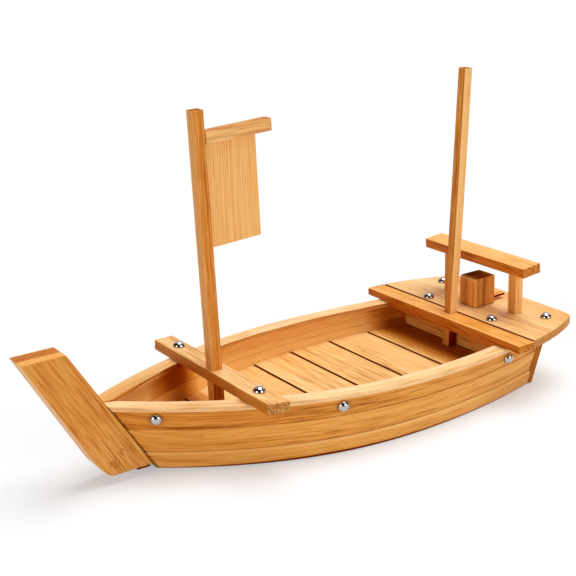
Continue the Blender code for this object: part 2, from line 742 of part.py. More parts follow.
# Dome-head nails: a turned dome on a shank
def nail_profile(name, shank):
    """Half outline of a nail, from the dome's crown down to the shank's end."""
    rings = 5
    points = []
    for i in range(rings + 1):
        a = i / rings * math.pi / 2
        points.append((DOME / 2 * math.sin(a), 0.0, DOME_HEIGHT * math.cos(a)))
    points += [(SHANK / 2, 0.0, 0.0), (SHANK / 2, 0.0, -shank), (0.0, 0.0, -shank)]
    mesh = bpy.data.meshes.new(name)
    mesh.from_pydata(points, [(i, i + 1) for i in range(len(points) - 1)], [])
    mesh.materials.append(NICKEL)
    return mesh


short_nail = nail_profile("short nail", SHORT_SHANK)
long_nail = nail_profile("long nail", LONG_SHANK)


def nail(name, mesh, seat):
    """Turn a nail on its seat, a matrix whose Z axis leaves the wood."""
    piece = place(name, mesh, NICKEL, matrix=seat @ Matrix.Translation((0.0, 0.0, GAP)))
    screw = piece.modifiers.new("turned", "SCREW")
    screw.steps = 16
    screw.render_steps = 16
    screw.use_merge_vertices = True
    screw.merge_threshold = 0.00001
    screw.use_smooth_shade = True
    return seat


def drill(piece, seats, shank):
    """Pilot holes for nails of this shank."""
    depth = shank + GAP
    bm = bmesh.new()
    for seat in seats:
        bmesh.ops.create_cone(bm, cap_ends=True, segments=10, depth=2 * depth,
                              radius1=SHANK / 2 + PILOT_CLEARANCE, radius2=SHANK / 2 + PILOT_CLEARANCE,
                              matrix=seat)
    mesh = bpy.data.meshes.new(piece.name + " pilot holes")
    bm.to_mesh(mesh)
    bm.free()
    cut(piece, mesh)


def side_seat(x, side):
    """Seat of a nail on the upper strake."""
    s, v = locate(x, sheer(x) - SIDE_NAIL_DEPTH)
    normal = on_side(skin_normal(s, v), side)
    return Matrix.Translation(on_side(skin(s, v), side)) @ normal.to_track_quat("Z", "Y").to_matrix().to_4x4()


for hand, side in (("port", 1), ("starboard", -1)):
    seats = []
    for i, x in enumerate(SIDE_NAIL_X):
        seats.append(nail(f"{hand}_side_nail_{i + 1}", short_nail, side_seat(x, side)))
    drill(upper_strakes[side], seats, SHORT_SHANK)

thwart_top = front_seat @ Matrix.Translation((0.0, 0.0, GAP + FRONT_THWART_THICKNESS))
thwart_seats = []
for hand, side in (("port", 1), ("starboard", -1)):
    seat = thwart_top @ Matrix.Translation((0.0, side * THWART_NAIL_Y, 0.0))
    thwart_seats.append(nail(f"{hand}_thwart_nail", long_nail, seat))
    drill(cap_rails[side], [seat], LONG_SHANK)
drill(front_thwart, thwart_seats, LONG_SHANK)

deck_seats = []
for hand, side, ahead, out in (("port", 1, 0.0, 0.0),
                               ("starboard", -1, STARBOARD_NAILS_AHEAD, STARBOARD_NAILS_OUT)):
    aft_x = DECK_AFT_X + DECK_NAIL_AFT + ahead
    for row, x, y in (("fore", DECK_FRONT_X - DECK_NAIL_FRONT + ahead, DECK_NAIL_FRONT_Y + out),
                      ("aft", aft_x, deck_half(aft_x) - DECK_NAIL_AFT_EDGE + out)):
        seat = Matrix.Translation((x, side * y, DECK_TOP))
        deck_seats.append(nail(f"{hand}_{row}_deck_nail", short_nail, seat))
drill(aft_deck, deck_seats, SHORT_SHANK)
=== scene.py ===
"""Finish of the bamboo sushi boat: dressed boards, nickel nails, studio floor, light and camera."""
import json
import math

import bmesh
import bpy
import numpy as np
from mathutils import Matrix, Vector

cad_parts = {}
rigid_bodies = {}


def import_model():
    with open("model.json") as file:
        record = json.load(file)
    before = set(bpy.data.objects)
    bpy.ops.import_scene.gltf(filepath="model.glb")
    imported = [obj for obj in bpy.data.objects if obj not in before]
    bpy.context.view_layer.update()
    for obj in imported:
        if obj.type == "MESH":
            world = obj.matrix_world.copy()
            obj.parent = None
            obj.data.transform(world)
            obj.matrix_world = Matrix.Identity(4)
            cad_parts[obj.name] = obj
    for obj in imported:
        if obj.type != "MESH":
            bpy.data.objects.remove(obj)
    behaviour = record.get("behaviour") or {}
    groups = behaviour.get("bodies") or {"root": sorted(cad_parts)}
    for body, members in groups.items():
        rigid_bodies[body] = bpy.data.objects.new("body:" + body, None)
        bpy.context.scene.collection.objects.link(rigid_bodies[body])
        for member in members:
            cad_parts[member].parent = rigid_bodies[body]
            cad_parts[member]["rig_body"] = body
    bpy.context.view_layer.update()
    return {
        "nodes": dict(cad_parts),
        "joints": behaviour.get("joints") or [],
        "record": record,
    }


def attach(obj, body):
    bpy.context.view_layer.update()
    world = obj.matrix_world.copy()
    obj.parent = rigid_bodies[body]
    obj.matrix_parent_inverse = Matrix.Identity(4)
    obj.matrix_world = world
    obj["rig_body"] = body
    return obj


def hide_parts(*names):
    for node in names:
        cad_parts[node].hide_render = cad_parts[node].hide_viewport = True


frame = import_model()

MM = 0.001
WELD = 0.01 * MM
ON_PLANE = 0.001 * MM
DARK_SEAM_EDGE = 0.9 * MM

# Edges bent by more degrees than this stay crisp. Faces look a way when the cosine to it is over
# FLAT, and take a painted shade that comes in along a way when it is over TURNED. The end of a board
# turns from planed to sawn between the two cosines to its grain.
CRISP = 52
FLAT = 0.75
TURNED = 0.4
SAWN_FROM, SAWN_FULL = 0.63, 0.93
BEND_DEGREE = 6

SLOTS = {part["node"]: part["material_slot"] for part in frame["record"]["subparts"]}
LIFTS = {joint["child"]: Vector(joint["axis"]) for joint in frame["joints"]}
X, Y, Z = Vector((1, 0, 0)), Vector((0, 1, 0)), Vector((0, 0, 1))


# Small helpers

def colour(code):
    """An sRGB hex value as linear RGBA."""
    channels = [int(code[i:i + 2], 16) / 255 for i in (1, 3, 5)]
    return (*[c / 12.92 if c <= 0.04045 else ((c + 0.055) / 1.055) ** 2.4 for c in channels], 1.0)


def add(tree, kind, inputs=None, **settings):
    """Adds one shader node: settings are its properties, inputs are socket values or links."""
    made = tree.nodes.new("ShaderNode" + kind)
    for name, value in settings.items():
        setattr(made, name, value)
    for socket, value in (inputs or {}).items():
        if isinstance(value, bpy.types.NodeSocket):
            tree.links.new(value, made.inputs[socket])
        else:
            made.inputs[socket].default_value = value
    return made


def blank(name):
    """A new material with an empty node tree."""
    made = bpy.data.materials.new(name)
    made.use_nodes = True
    made.node_tree.nodes.clear()
    return made


# Bamboo: pattern sizes along, across and through the grain. Fibres and dashes are drawn about 1.7 mm
# wide, coarser than real ones, so that they show.

FIBRE = (28 * MM, 1.7 * MM, 1.7 * MM)
DASH = (34 * MM, 1.8 * MM, 1.8 * MM)
CLOUD = (140 * MM, 30 * MM, 30 * MM)
TICK = (5 * MM, 1 * MM, 1 * MM)
BUNDLE = (1.3 * MM, 1.8 * MM, 1.3 * MM)
KNUCKLE_PITCH = 290 * MM
LAYER_WANDER = 3 * MM
LAYER_BLUR = 0.3 * MM
GAP_SHADE_WANDER = 3 * MM
GAP_SHADE_FROM, GAP_SHADE_TO = 2.4 * MM, 3.8 * MM
SHEEN = 0.16


def per_size(sizes):
    """Pattern scale that makes one step of a noise as big as the given sizes."""
    return tuple(1 / size for size in sizes)


def bamboo(name, tones, ends=("#8A4E1C", "#C88A4A"), strip=19.0, ply=6.5, streak=2.8, vein=0.8,
           thread=0.6, dash=0.35, patch=0.24, seam=0.0, knuckle=0.5, fleck=0.6, reach=0.15, bands=(),
           marks=(), joint=()):
    """Laminated bamboo, planed, sanded and satin lacquered.

    It gives the eye glued strips of slightly different tone, long streaks, dark dashes and fine
    fibres along each strip, a faint brown knuckle where a joint of the cane was, speckled brown
    ends, and a soft sheen that is duller on the darkest faces. It also carries painted shade: a depth
    on each corner of a board multiplies the wood towards deep brown, standing for shadow, and dulls
    its sheen. tones run from deep to light, ends are the two colours of a sawn end; strip, ply and
    streak are widths in mm, reach is how long a streak runs. bands are layers that show on the sawn
    ends, as (axis of the grain, from, to, change), marks are growth marks, as (along, across, radius),
    and joint is a plane along which a dark line is painted as painted shade, for the shadow in the
    gap there, as (way off it, distance), all in metres.
    """
    made = blank(name)
    tree = made.node_tree
    grain = add(tree, "Attribute", attribute_name="grain").outputs["Vector"]
    board = add(tree, "SeparateXYZ", {0: add(tree, "Attribute", attribute_name="board").outputs["Vector"]})
    seed, tone, sawn = board.outputs
    # painted shade: how deep the shade painted on each corner of a board is, 0 for none
    painted_shade = add(tree, "Attribute", attribute_name="painted_shade").outputs["Fac"]
    dull = [sawn, painted_shade]
    axis = add(tree, "SeparateXYZ", {0: grain}).outputs

    # each glued strip is a lot of its own, with its own tone and its own stretch of cane
    row = add(tree, "Math", {0: axis[1], 1: strip * MM}, operation="DIVIDE").outputs[0]
    layer = add(tree, "Math", {0: axis[2], 1: ply * MM}, operation="DIVIDE")
    layer = add(tree, "Math", {0: layer.outputs[0]}, operation="FLOOR")
    cell = add(tree, "Math", {0: row}, operation="FLOOR")
    cell = add(tree, "CombineXYZ", {0: cell.outputs[0], 1: layer.outputs[0], 2: seed})
    lot = add(tree, "TexWhiteNoise", {"Vector": cell.outputs[0]}, noise_dimensions="3D")
    own = add(tree, "VectorMath", {0: lot.outputs["Color"], 1: (1.7, 0.11, 0.13), 2: grain},
              operation="MULTIPLY_ADD").outputs[0]

    # streaks a few mm wide and a hand long
    place = add(tree, "Mapping", {0: own, 3: per_size((reach, streak * MM, streak * MM))})
    streaks = add(tree, "TexNoise", {0: place.outputs[0], "Scale": 1.0, "Detail": 3.0,
                                     "Roughness": 0.6, "Distortion": 0.2}).outputs[0]
    place = add(tree, "Mapping", {0: own, 3: per_size(FIBRE)})
    fibres = add(tree, "TexNoise", {0: place.outputs[0], "Scale": 1.0, "Detail": 1.0}).outputs[0]
    place = add(tree, "Mapping", {0: own, 1: (3.1, 5.7, 1.3), 3: per_size(DASH)})
    dashes = add(tree, "TexNoise", {0: place.outputs[0], "Scale": 1.0, "Detail": 0.0}).outputs[0]
    dashes = add(tree, "MapRange", {"Value": dashes, "From Min": 0.58, "From Max": 0.76,
                                    "To Min": 0.0, "To Max": -dash}).outputs[0]
    place = add(tree, "Mapping", {0: own, 3: per_size(CLOUD)})
    cloud = add(tree, "TexNoise", {0: place.outputs[0], "Scale": 1.0, "Detail": 2.0}).outputs[0]
    glue = add(tree, "Math", {0: row}, operation="FRACT")
    glue = add(tree, "Math", {0: glue.outputs[0], 1: 0.5}, operation="SUBTRACT")
    glue = add(tree, "Math", {0: glue.outputs[0]}, operation="ABSOLUTE")
    glue = add(tree, "MapRange", {"Value": glue.outputs[0], "From Min": 0.3, "From Max": 0.5,
                                  "To Min": 0.0, "To Max": -seam}).outputs[0]

    base = 0.55 - (vein + thread + 0.5 + patch) / 2
    level = add(tree, "Math", {0: streaks, 1: vein, 2: base}, operation="MULTIPLY_ADD")
    level = add(tree, "Math", {0: fibres, 1: thread, 2: level.outputs[0]}, operation="MULTIPLY_ADD")
    level = add(tree, "Math", {0: cloud, 1: 0.5, 2: level.outputs[0]}, operation="MULTIPLY_ADD")
    level = add(tree, "Math", {0: lot.outputs["Value"], 1: patch, 2: level.outputs[0]},
                operation="MULTIPLY_ADD")
    level = add(tree, "Math", {0: level.outputs[0], 1: dashes}, operation="ADD")
    level = add(tree, "Math", {0: level.outputs[0], 1: glue}, operation="ADD")
    level = add(tree, "Math", {0: level.outputs[0], 1: tone}, operation="ADD")
    wood = add(tree, "ValToRGB", {0: level.outputs[0]})
    stops = wood.color_ramp.elements
    stops[0].position, stops[0].color = 0.0, colour(tones[0])
    stops[1].position, stops[1].color = 0.9, colour(tones[3])
    stops.new(0.2).color = colour(tones[1])
    stops.new(0.53).color = colour(tones[2])
    shown = wood.outputs[0]

    # a knuckle about 3 mm wide crosses some strips about every 290 mm
    beat = add(tree, "Math", {0: axis[0], 1: 1 / KNUCKLE_PITCH, 2: lot.outputs["Value"]},
               operation="MULTIPLY_ADD")
    beat = add(tree, "Math", {0: streaks, 1: 0.02, 2: beat.outputs[0]}, operation="MULTIPLY_ADD")
    beat = add(tree, "Math", {0: beat.outputs[0]}, operation="FRACT")
    beat = add(tree, "Math", {0: beat.outputs[0], 1: 0.5}, operation="SUBTRACT")
    beat = add(tree, "Math", {0: beat.outputs[0]}, operation="ABSOLUTE")
    band = add(tree, "MapRange", {"Value": beat.outputs[0], "From Min": 0.001, "From Max": 0.009,
                                  "To Min": knuckle, "To Max": 0.0}, interpolation_type="SMOOTHSTEP")
    some = add(tree, "Math", {0: lot.outputs["Value"], 1: 0.55}, operation="GREATER_THAN")
    band = add(tree, "Math", {0: band.outputs[0], 1: some.outputs[0]}, operation="MULTIPLY")
    band = add(tree, "Math", {0: band.outputs[0], 1: fibres}, operation="MULTIPLY")
    shown = add(tree, "Mix", {0: band.outputs[0], 6: shown, 7: colour(tones[1])},
                data_type="RGBA").outputs[2]

    # a growth mark: short dark dashes, about 1 mm wide and 5 mm long, thickest at its middle
    place = add(tree, "Mapping", {0: grain, 3: per_size(TICK)})
    ticks = add(tree, "TexNoise", {0: place.outputs[0], "Scale": 1.0, "Detail": 1.0}).outputs[0]
    for along, across, radius in marks:
        ring = add(tree, "Mapping", {0: grain, 1: (-along / radius, -across / radius, 0.0),
                                     3: (1 / radius, 1 / radius, 0.0)})
        far = add(tree, "VectorMath", {0: ring.outputs[0]}, operation="LENGTH")
        dark = add(tree, "Math", {0: far.outputs["Value"], 1: -0.3, 2: ticks}, operation="MULTIPLY_ADD")
        dark = add(tree, "MapRange", {"Value": dark.outputs[0], "From Min": 0.33, "From Max": 0.45,
                                      "To Min": 0.0, "To Max": 0.8})
        shown = add(tree, "Mix", {0: dark.outputs[0], 6: shown, 7: colour(tones[1])},
                    data_type="RGBA").outputs[2]
    # painted shade along a joint: a deep brown line, ragged with the fibres and without sheen, for the
    # shadow in the gap where the planks meet the stem
    if joint:
        where = add(tree, "TexCoord").outputs["Object"]
        off = add(tree, "VectorMath", {0: where, 1: joint[0]}, operation="DOT_PRODUCT")
        off = add(tree, "Math", {0: fibres, 1: GAP_SHADE_WANDER, 2: off.outputs["Value"]},
                  operation="MULTIPLY_ADD")
        dark_seam = add(tree, "MapRange", {"Value": off.outputs[0], "From Min": joint[1] + GAP_SHADE_FROM,
                                       "From Max": joint[1] + GAP_SHADE_TO, "To Min": 0.7, "To Max": 0.0})
        shown = add(tree, "Mix", {0: dark_seam.outputs[0], 6: shown, 7: colour("#5A2402")},
                    data_type="RGBA").outputs[2]
        dull.append(dark_seam.outputs[0])

    # sawn ends: brown fibre bundles about 1.3 mm apart in a paler ground
    bundle = add(tree, "Mapping", {0: own, 3: per_size(BUNDLE)})
    bundle = add(tree, "TexNoise", {0: bundle.outputs[0], "Scale": 1.0, "Detail": 1.0})
    bundle = add(tree, "MapRange", {"Value": bundle.outputs[0], "From Min": 0.2, "From Max": 0.8,
                                    "To Min": -0.5 * fleck, "To Max": 0.5 * fleck}, clamp=False)
    for way, start, stop, change in bands:
        # the edge of a layer wanders with the streaks
        wander = add(tree, "Math", {0: streaks, 1: LAYER_WANDER, 2: axis[way]}, operation="MULTIPLY_ADD")
        middle, half = (start + stop + LAYER_WANDER) / 2, (stop - start) / 2
        away = add(tree, "Math", {0: wander.outputs[0], 1: middle}, operation="SUBTRACT")
        away = add(tree, "Math", {0: away.outputs[0]}, operation="ABSOLUTE")
        inside = add(tree, "MapRange", {"Value": away.outputs[0], "From Min": half - LAYER_BLUR,
                                        "From Max": half + LAYER_BLUR, "To Min": change, "To Max": 0.0})
        bundle = add(tree, "Math", {0: bundle.outputs[0], 1: inside.outputs[0]}, operation="ADD")
    bundle = add(tree, "Math", {0: bundle.outputs[0], 1: level.outputs[0]}, operation="ADD",
                 use_clamp=True)
    cut = add(tree, "Mix", {0: bundle.outputs[0], 6: colour(ends[0]), 7: colour(ends[1])},
              data_type="RGBA")
    shown = add(tree, "Mix", {0: sawn, 6: shown, 7: cut.outputs[2]}, data_type="RGBA").outputs[2]
    # painted shade: the wood is multiplied towards a deep brown as far as its painted shade goes
    shade_tint = add(tree, "Gamma", {"Color": colour("#B87A34"), "Gamma": painted_shade})
    shown = add(tree, "Mix", {0: 1.0, 6: shown, 7: shade_tint.outputs[0]}, data_type="RGBA",
                blend_type="MULTIPLY").outputs[2]

    gloss = add(tree, "MapRange", {"Value": fibres, "From Min": 0.3, "From Max": 0.7,
                                   "To Min": 0.34, "To Max": 0.5})
    gloss = add(tree, "Math", {0: sawn, 1: 0.15, 2: gloss.outputs[0]}, operation="MULTIPLY_ADD")
    lacquer = add(tree, "MapRange", {"Value": tone, "From Min": -0.5, "From Max": 0.5,
                                     "To Min": 0.0, "To Max": 2 * SHEEN})
    for less in dull:
        bare = add(tree, "Math", {0: less, 1: -1.0, 2: 1.0}, operation="MULTIPLY_ADD", use_clamp=True)
        lacquer = add(tree, "Math", {0: lacquer.outputs[0], 1: bare.outputs[0]}, operation="MULTIPLY")
    relief = add(tree, "Math", {0: fibres, 1: 0.6, 2: streaks}, operation="MULTIPLY_ADD")
    bump = add(tree, "Bump", {"Strength": 0.2, "Distance": 0.00025, "Height": relief.outputs[0]})
    surface = add(tree, "BsdfPrincipled", {"Base Color": shown, "Roughness": gloss.outputs[0],
                                           "Normal": bump.outputs[0], "IOR": 1.46,
                                           "Specular IOR Level": lacquer.outputs[0]})
    add(tree, "OutputMaterial", {0: surface.outputs[0]})
    return made


STEM_RAKE = math.radians(30.8)
STEM_LINE = Vector((math.sin(STEM_RAKE), 0, math.cos(STEM_RAKE)))
STEM = (STEM_LINE, STEM_LINE.cross(Y), Y)
STEM_JOINT = (STEM[1], max(v.co.dot(STEM[1]) for v in frame["nodes"]["stem"].data.vertices))

HULL_TONES = ("#8E4A10", "#BA7022", "#E49E48", "#F2B865")
FINISH = {
    "hull": bamboo("laminated bamboo, amber hull planks", HULL_TONES, vein=0.95, thread=0.9,
                   dash=0.2, joint=STEM_JOINT),
    "transom": bamboo("laminated bamboo, amber transom", HULL_TONES, ends=("#A8682C", "#CC8A48"),
                      fleck=0.3),
    "cap": bamboo("laminated bamboo, pale cap rails", ("#A0601C", "#CF8838", "#F6CA92", "#FCDDB0"),
                  vein=0.4, dash=0.15),
    "deck": bamboo("laminated bamboo, pale deck boards", ("#AE5F18", "#CC8538", "#F6C484", "#FCD8A4"),
                   ends=("#94561E", "#E0A868"), vein=0.9, thread=0.75, dash=0.14, patch=0.15, fleck=1.5),
    "slat": bamboo("laminated bamboo, honey floor slats", ("#7A3A0A", "#C07A30", "#F5BE76", "#FBD398"),
                   ends=("#6A2E02", "#84400A"), vein=0.85, thread=0.85, dash=0.12),
    "amber": bamboo("carbonised laminated bamboo, amber bars", ("#A04A0C", "#B85F14", "#EFA64C", "#F7C17A"),
                    ends=("#8A4410", "#DC9040"), vein=1.0, thread=0.8, dash=0.2, fleck=1.5),
    "spar": bamboo("laminated bamboo, honey spars", ("#7A3808", "#BE6C1E", "#E39A44", "#F6C27C"),
                   strip=3, ply=3, streak=1.6, vein=1.1, thread=0.8, patch=0.4, seam=0.12,
                   knuckle=0.0, dash=0.2),
    "sail": bamboo("side pressed bamboo, pale sail", ("#B87428", "#D69448", "#F3B468", "#FACB86"),
                   strip=2.6, ply=20, streak=1.6, vein=0.5, seam=0.34, knuckle=0.0, dash=0.15),
    "stem": bamboo("carbonised laminated bamboo, stem", ("#8A4810", "#AE641A", "#D48C3C", "#E8AC5C"),
                   strip=70, ply=70, streak=1.3, reach=0.06, vein=1.7, thread=1.2, dash=0.2,
                   knuckle=0.0, ends=("#B06028", "#E8AC64"), fleck=0.3,
                   bands=((2, 0.003, 0.03, 0.35), (2, -0.011, 0.003, -0.6), (2, -0.03, -0.011, 0.3)),
                   marks=((0.1309, -0.1777, 0.0085), (0.1341, -0.1666, 0.0065))),
    "dark": bamboo("carbonised bamboo, darkest pieces", ("#5E2C04", "#8A480C", "#CC7C26", "#EDAA58"),
                   ends=("#5A2606", "#9A5820"), strip=40, ply=40, streak=7, vein=2.6, thread=0.6,
                   dash=0.0, patch=0.0, knuckle=0.0, fleck=0.3),
}


def nickel():
    """Polished nickel plate on turned nail heads: a mirror, faintly warm, with a hair of haze."""
    made = blank("polished nickel")
    tree = made.node_tree
    where = add(tree, "TexCoord").outputs["Object"]
    haze = add(tree, "TexNoise", {0: where, "Scale": 1 / (1.5 * MM), "Detail": 3.0})
    plate = add(tree, "Mix", {0: haze.outputs[0], 6: colour("#ACA7A0"), 7: colour("#C4C0BA")},
                data_type="RGBA")
    polish = add(tree, "MapRange", {"Value": haze.outputs[0], "To Min": 0.05, "To Max": 0.12})
    surface = add(tree, "BsdfPrincipled", {"Base Color": plate.outputs[2], "Metallic": 1.0,
                                           "Roughness": polish.outputs[0]})
    add(tree, "OutputMaterial", {0: surface.outputs[0]})
    return made


NICKEL = nickel()


# Pieces

def fit(piece, node):
    """Puts a finished piece in place of its solid, on the same body."""
    bpy.context.scene.collection.objects.link(piece)
    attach(piece, frame["nodes"][node]["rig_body"])
    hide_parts(node)


def soften(bm, crisp):
    """Smooth shading, with edges kept crisp where two faces meet at more than so many degrees."""
    for face in bm.faces:
        face.smooth = True
    for edge in bm.edges:
        edge.smooth = edge.calc_face_angle(0.0) < math.radians(crisp)


def dress(node, finish, seed, axes, tone=0.0, faces=(), painted_shade=(), bent=False, dark_seam=False, crisp=CRISP):
    """A finished copy of a solid, with its grain along, across and through the board.

    faces are painted light and shade on the faces that look a given way, each side toned lighter or
    darker for how the light falls on it: (way, least cosine, change of tone, depth of painted shade),
    where painted shade deepens the wood, to brown at 1. The painted shade argument gives the same
    where it comes in along a way, for painted shadows under thwarts and decks and along the wale's
    foot: (look of the faces, way, start, stop, depth). A bent plank's grain follows its own middle
    line. Boards with dark seams are dark along their long edges, for glue and for the shade in the
    seams between them.
    """
    bm = bmesh.new()
    bm.from_mesh(frame["nodes"][node].data)
    bmesh.ops.remove_doubles(bm, verts=bm.verts, dist=WELD)
    cuts = [(way * place, way) for look, way, *places, depth in painted_shade for place in places]
    # boards with dark seams are cut a little in from their long edges, which are painted dark for glue and
    # for the shade in the seams
    across = [v.co.dot(axes[1]) for v in bm.verts]
    edges = (min(across) + DARK_SEAM_EDGE, max(across) - DARK_SEAM_EDGE)
    if dark_seam:
        cuts += [(axes[1] * place, axes[1]) for place in edges]
    for place, way in cuts:
        bmesh.ops.bisect_plane(bm, geom=bm.verts[:] + bm.edges[:] + bm.faces[:], dist=ON_PLANE,
                               plane_co=place, plane_no=way)
    soften(bm, crisp)
    mesh = bpy.data.meshes.new(node + "_finished")
    bm.to_mesh(mesh)
    bm.free()

    laid = np.array([v.co for v in mesh.vertices]) @ np.array(axes).T
    if bent:
        for column in (1, 2):
            line = np.polyfit(laid[:, 0], laid[:, column], BEND_DEGREE)
            laid[:, column] -= np.polyval(line, laid[:, 0])
    grain = mesh.attributes.new("grain", "FLOAT_VECTOR", "POINT")
    grain.data.foreach_set("vector", laid.astype(np.float32).ravel())
    mesh.attributes.new("board", "FLOAT_VECTOR", "CORNER")
    mesh.attributes.new("painted_shade", "FLOAT", "CORNER")
    board, brown = mesh.attributes["board"], mesh.attributes["painted_shade"]
    for face in mesh.polygons:
        here = [entry for entry in faces if face.normal.dot(entry[0]) > entry[1]]
        shade = tone + sum(entry[2] for entry in here)
        beside = not edges[0] < face.center.dot(axes[1]) < edges[1]
        sawn = (abs(face.normal.dot(axes[0])) - SAWN_FROM) / (SAWN_FULL - SAWN_FROM)
        sawn = min(1.0, max(0.0, sawn, float(dark_seam and beside)))
        for corner in face.loop_indices:
            at = mesh.vertices[mesh.loops[corner].vertex_index].co
            deep = sum(entry[3] for entry in here)
            for look, way, start, stop, depth in painted_shade:
                if face.normal.dot(look) > TURNED:
                    deep += depth * min(1.0, max(0.0, (at.dot(way) - start) / (stop - start)))
            board.data[corner].vector = (seed, shade, sawn)
            brown.data[corner].value = deep

    mesh.materials.append(FINISH[finish])
    piece = bpy.data.objects.new(node + "_finished", mesh)
    piece.modifiers.new("even shading", "WEIGHTED_NORMAL").keep_sharp = True
    fit(piece, node)


SPOKES = 12
SHANK_RADIUS = 0.95 * MM
RIM_EASE = 0.3 * MM
RIM_LIFT = 0.1 * MM


def nail_head(node):
    """A turned nickel dome with an eased rim, on the crown and axis of its solid."""
    bm = bmesh.new()
    bm.from_mesh(frame["nodes"][node].data)
    bmesh.ops.remove_doubles(bm, verts=bm.verts, dist=WELD)
    bm.normal_update()
    # the dome's facets meet at the crown; the shank's end has a corner with as many edges, but longer
    crown = min((v for v in bm.verts if len(v.link_edges) >= SPOKES),
                key=lambda v: max(e.calc_length() for e in v.link_edges))
    top, out = crown.co.copy(), crown.normal.copy()
    depths = [(top - v.co).dot(out) for v in bm.verts]
    widths = [(v.co - top + out * depth).length for v, depth in zip(bm.verts, depths)]
    radius, reach = max(widths), max(depths)
    height = max(depth for depth, width in zip(depths, widths) if width > 0.9 * radius)
    bm.free()

    bm = bmesh.new()
    bmesh.ops.create_uvsphere(bm, u_segments=48, v_segments=32, radius=1.0)
    bmesh.ops.scale(bm, vec=(radius, radius, height), verts=bm.verts)
    bmesh.ops.bisect_plane(bm, geom=bm.verts[:] + bm.edges[:] + bm.faces[:], dist=ON_PLANE,
                           plane_co=(0, 0, RIM_LIFT), plane_no=(0, 0, -1), clear_outer=True)
    rim = [edge for edge in bm.edges if edge.is_boundary]
    under = bmesh.ops.contextual_create(bm, geom=rim)["faces"]
    bmesh.ops.bevel(bm, geom=under[0].edges[:], offset=RIM_EASE, offset_type="OFFSET", affect="EDGES",
                    segments=2, profile=0.5, material=-1)
    flat = min(bm.faces, key=lambda f: f.calc_center_median().z)
    bmesh.ops.inset_region(bm, faces=[flat], thickness=radius - SHANK_RADIUS - RIM_EASE)
    stalk = bmesh.ops.extrude_discrete_faces(bm, faces=[flat])["faces"]
    bmesh.ops.translate(bm, vec=(0, 0, height - reach), verts=stalk[0].verts)
    bmesh.ops.recalc_face_normals(bm, faces=bm.faces)
    turn = out.to_track_quat("Z", "Y").to_matrix().to_4x4()
    seat = Matrix.Translation(top - out * height)
    bmesh.ops.transform(bm, matrix=seat @ turn, verts=bm.verts)
    soften(bm, CRISP)
    mesh = bpy.data.meshes.new(node + "_dome")
    bm.to_mesh(mesh)
    bm.free()
    mesh.materials.append(NICKEL)
    fit(bpy.data.objects.new(node + "_dome", mesh), node)


def along_mast(body):
    """Grain up a raked mast, whose line is the one it lifts out on."""
    up = LIFTS[body]
    across = up.cross(Y).normalized()
    return up, across, up.cross(across)


PLANK = (X, Z, Y)
BOARD = (X, Y, Z)
ATHWART = (Y, X, Z)
UPRIGHT = (Z, X, Y)

# painted shade: the inside is darker under the front thwart, about 80 to 155 mm ahead of the middle,
# and under the deck aft, where they shadow it; the wale is painted dark along its foot for the
# contact shadow on the floor, most of all ahead; the outside is darker towards the bow, where it
# turns from the light, and the starboard rail browner to the bow. The inner faces of the strakes are
# painted lighter and the rails' inner edges darker, for how the light falls on them.
FOOT = Vector((0.008, 0, -1))
for number, side in enumerate(("port", "starboard")):
    inward = Vector((0, 2 * number - 1, 0))
    dress(f"{side}_upper_strake", "hull", 1 + 10 * number, PLANK, tone=-0.1,
          faces=((inward, FLAT, 0.42, 0),),
          painted_shade=((inward, -X, -0.155, -0.120, 1.1), (inward, -X, -0.102, -0.080, -1.1),
                (inward, -X, 0.158, 0.182, 0.5), (-inward, X, -0.05, 0.17, 0.22)), bent=True)
    dress(f"{side}_middle_strake", "hull", 2 + 10 * number, PLANK, tone=0.04,
          faces=((inward, FLAT, 0.5, 0),),
          painted_shade=((inward, -X, -0.145, -0.110, 0.8), (inward, -X, -0.102, -0.080, -0.8),
                (inward, -X, 0.160, 0.190, 0.9), (-inward, X, -0.05, 0.17, 0.16)), bent=True)
    # the wale's upward ledge is toned paler, a painted highlight
    dress(f"{side}_wale", "hull", 3 + 10 * number, PLANK, tone=0.14, faces=((Z, 0.25, 0.6, 0),),
          painted_shade=((-inward, X, -0.05, 0.15, 0.1), (-inward, FOOT, -0.0032, -0.0014, 2.6)),
          bent=True, crisp=25)
    dress(f"{side}_cap_rail", "cap", 4 + 10 * number, BOARD, faces=((inward, FLAT, -0.3, 0.1),),
          painted_shade=((inward, -X, -0.140, -0.120, 1.0), (inward, -X, -0.102, -0.080, -1.0),
                (Z, X, 0.11, 0.19, 0.24 * number)), bent=True)
    # painted light and shade on the posts: their sides toned lighter and the bow-ward ones browned, for how
    # light falls on them
    dress(f"{side}_post", "spar", 5 + 10 * number, UPRIGHT, tone=0.16,
          faces=((Y, FLAT, 0.25, 0), (X, FLAT, 0.25, 0.25)))
# painted shade on the slats: darker where the front thwart and the aft deck shadow them
for number in range(1, 10):
    dress(f"floor_slat_{number}", "slat", 20 + number, ATHWART,
          painted_shade=((Z, X, 0.080, 0.095, 0.5), (Z, -X, 0.164, 0.186, 1.0)), dark_seam=True)
for number in range(1, 4):
    dress(f"floor_bearer_{number}", "amber", 30 + number, ATHWART)
# the bottom board's top, seen only through the seams, is painted dark for the shade under the slats
dress("bottom_board", "hull", 40, BOARD, faces=((Z, FLAT, -0.5, 1.2),))
# painted shade: the transom's port end and the bulkhead's front face are browned
dress("transom", "transom", 41, ATHWART, faces=((Y, 0.5, 0, 0.2),))
dress("bulkhead", "amber", 55, ATHWART, tone=0.02, faces=((X, FLAT, 0, 0.08),))
# the forefoot is given the darkest finish and a lower tone as painted shade, for the shadow under the
# stem's heel
dress("forefoot", "dark", 42, ATHWART, tone=-0.5)
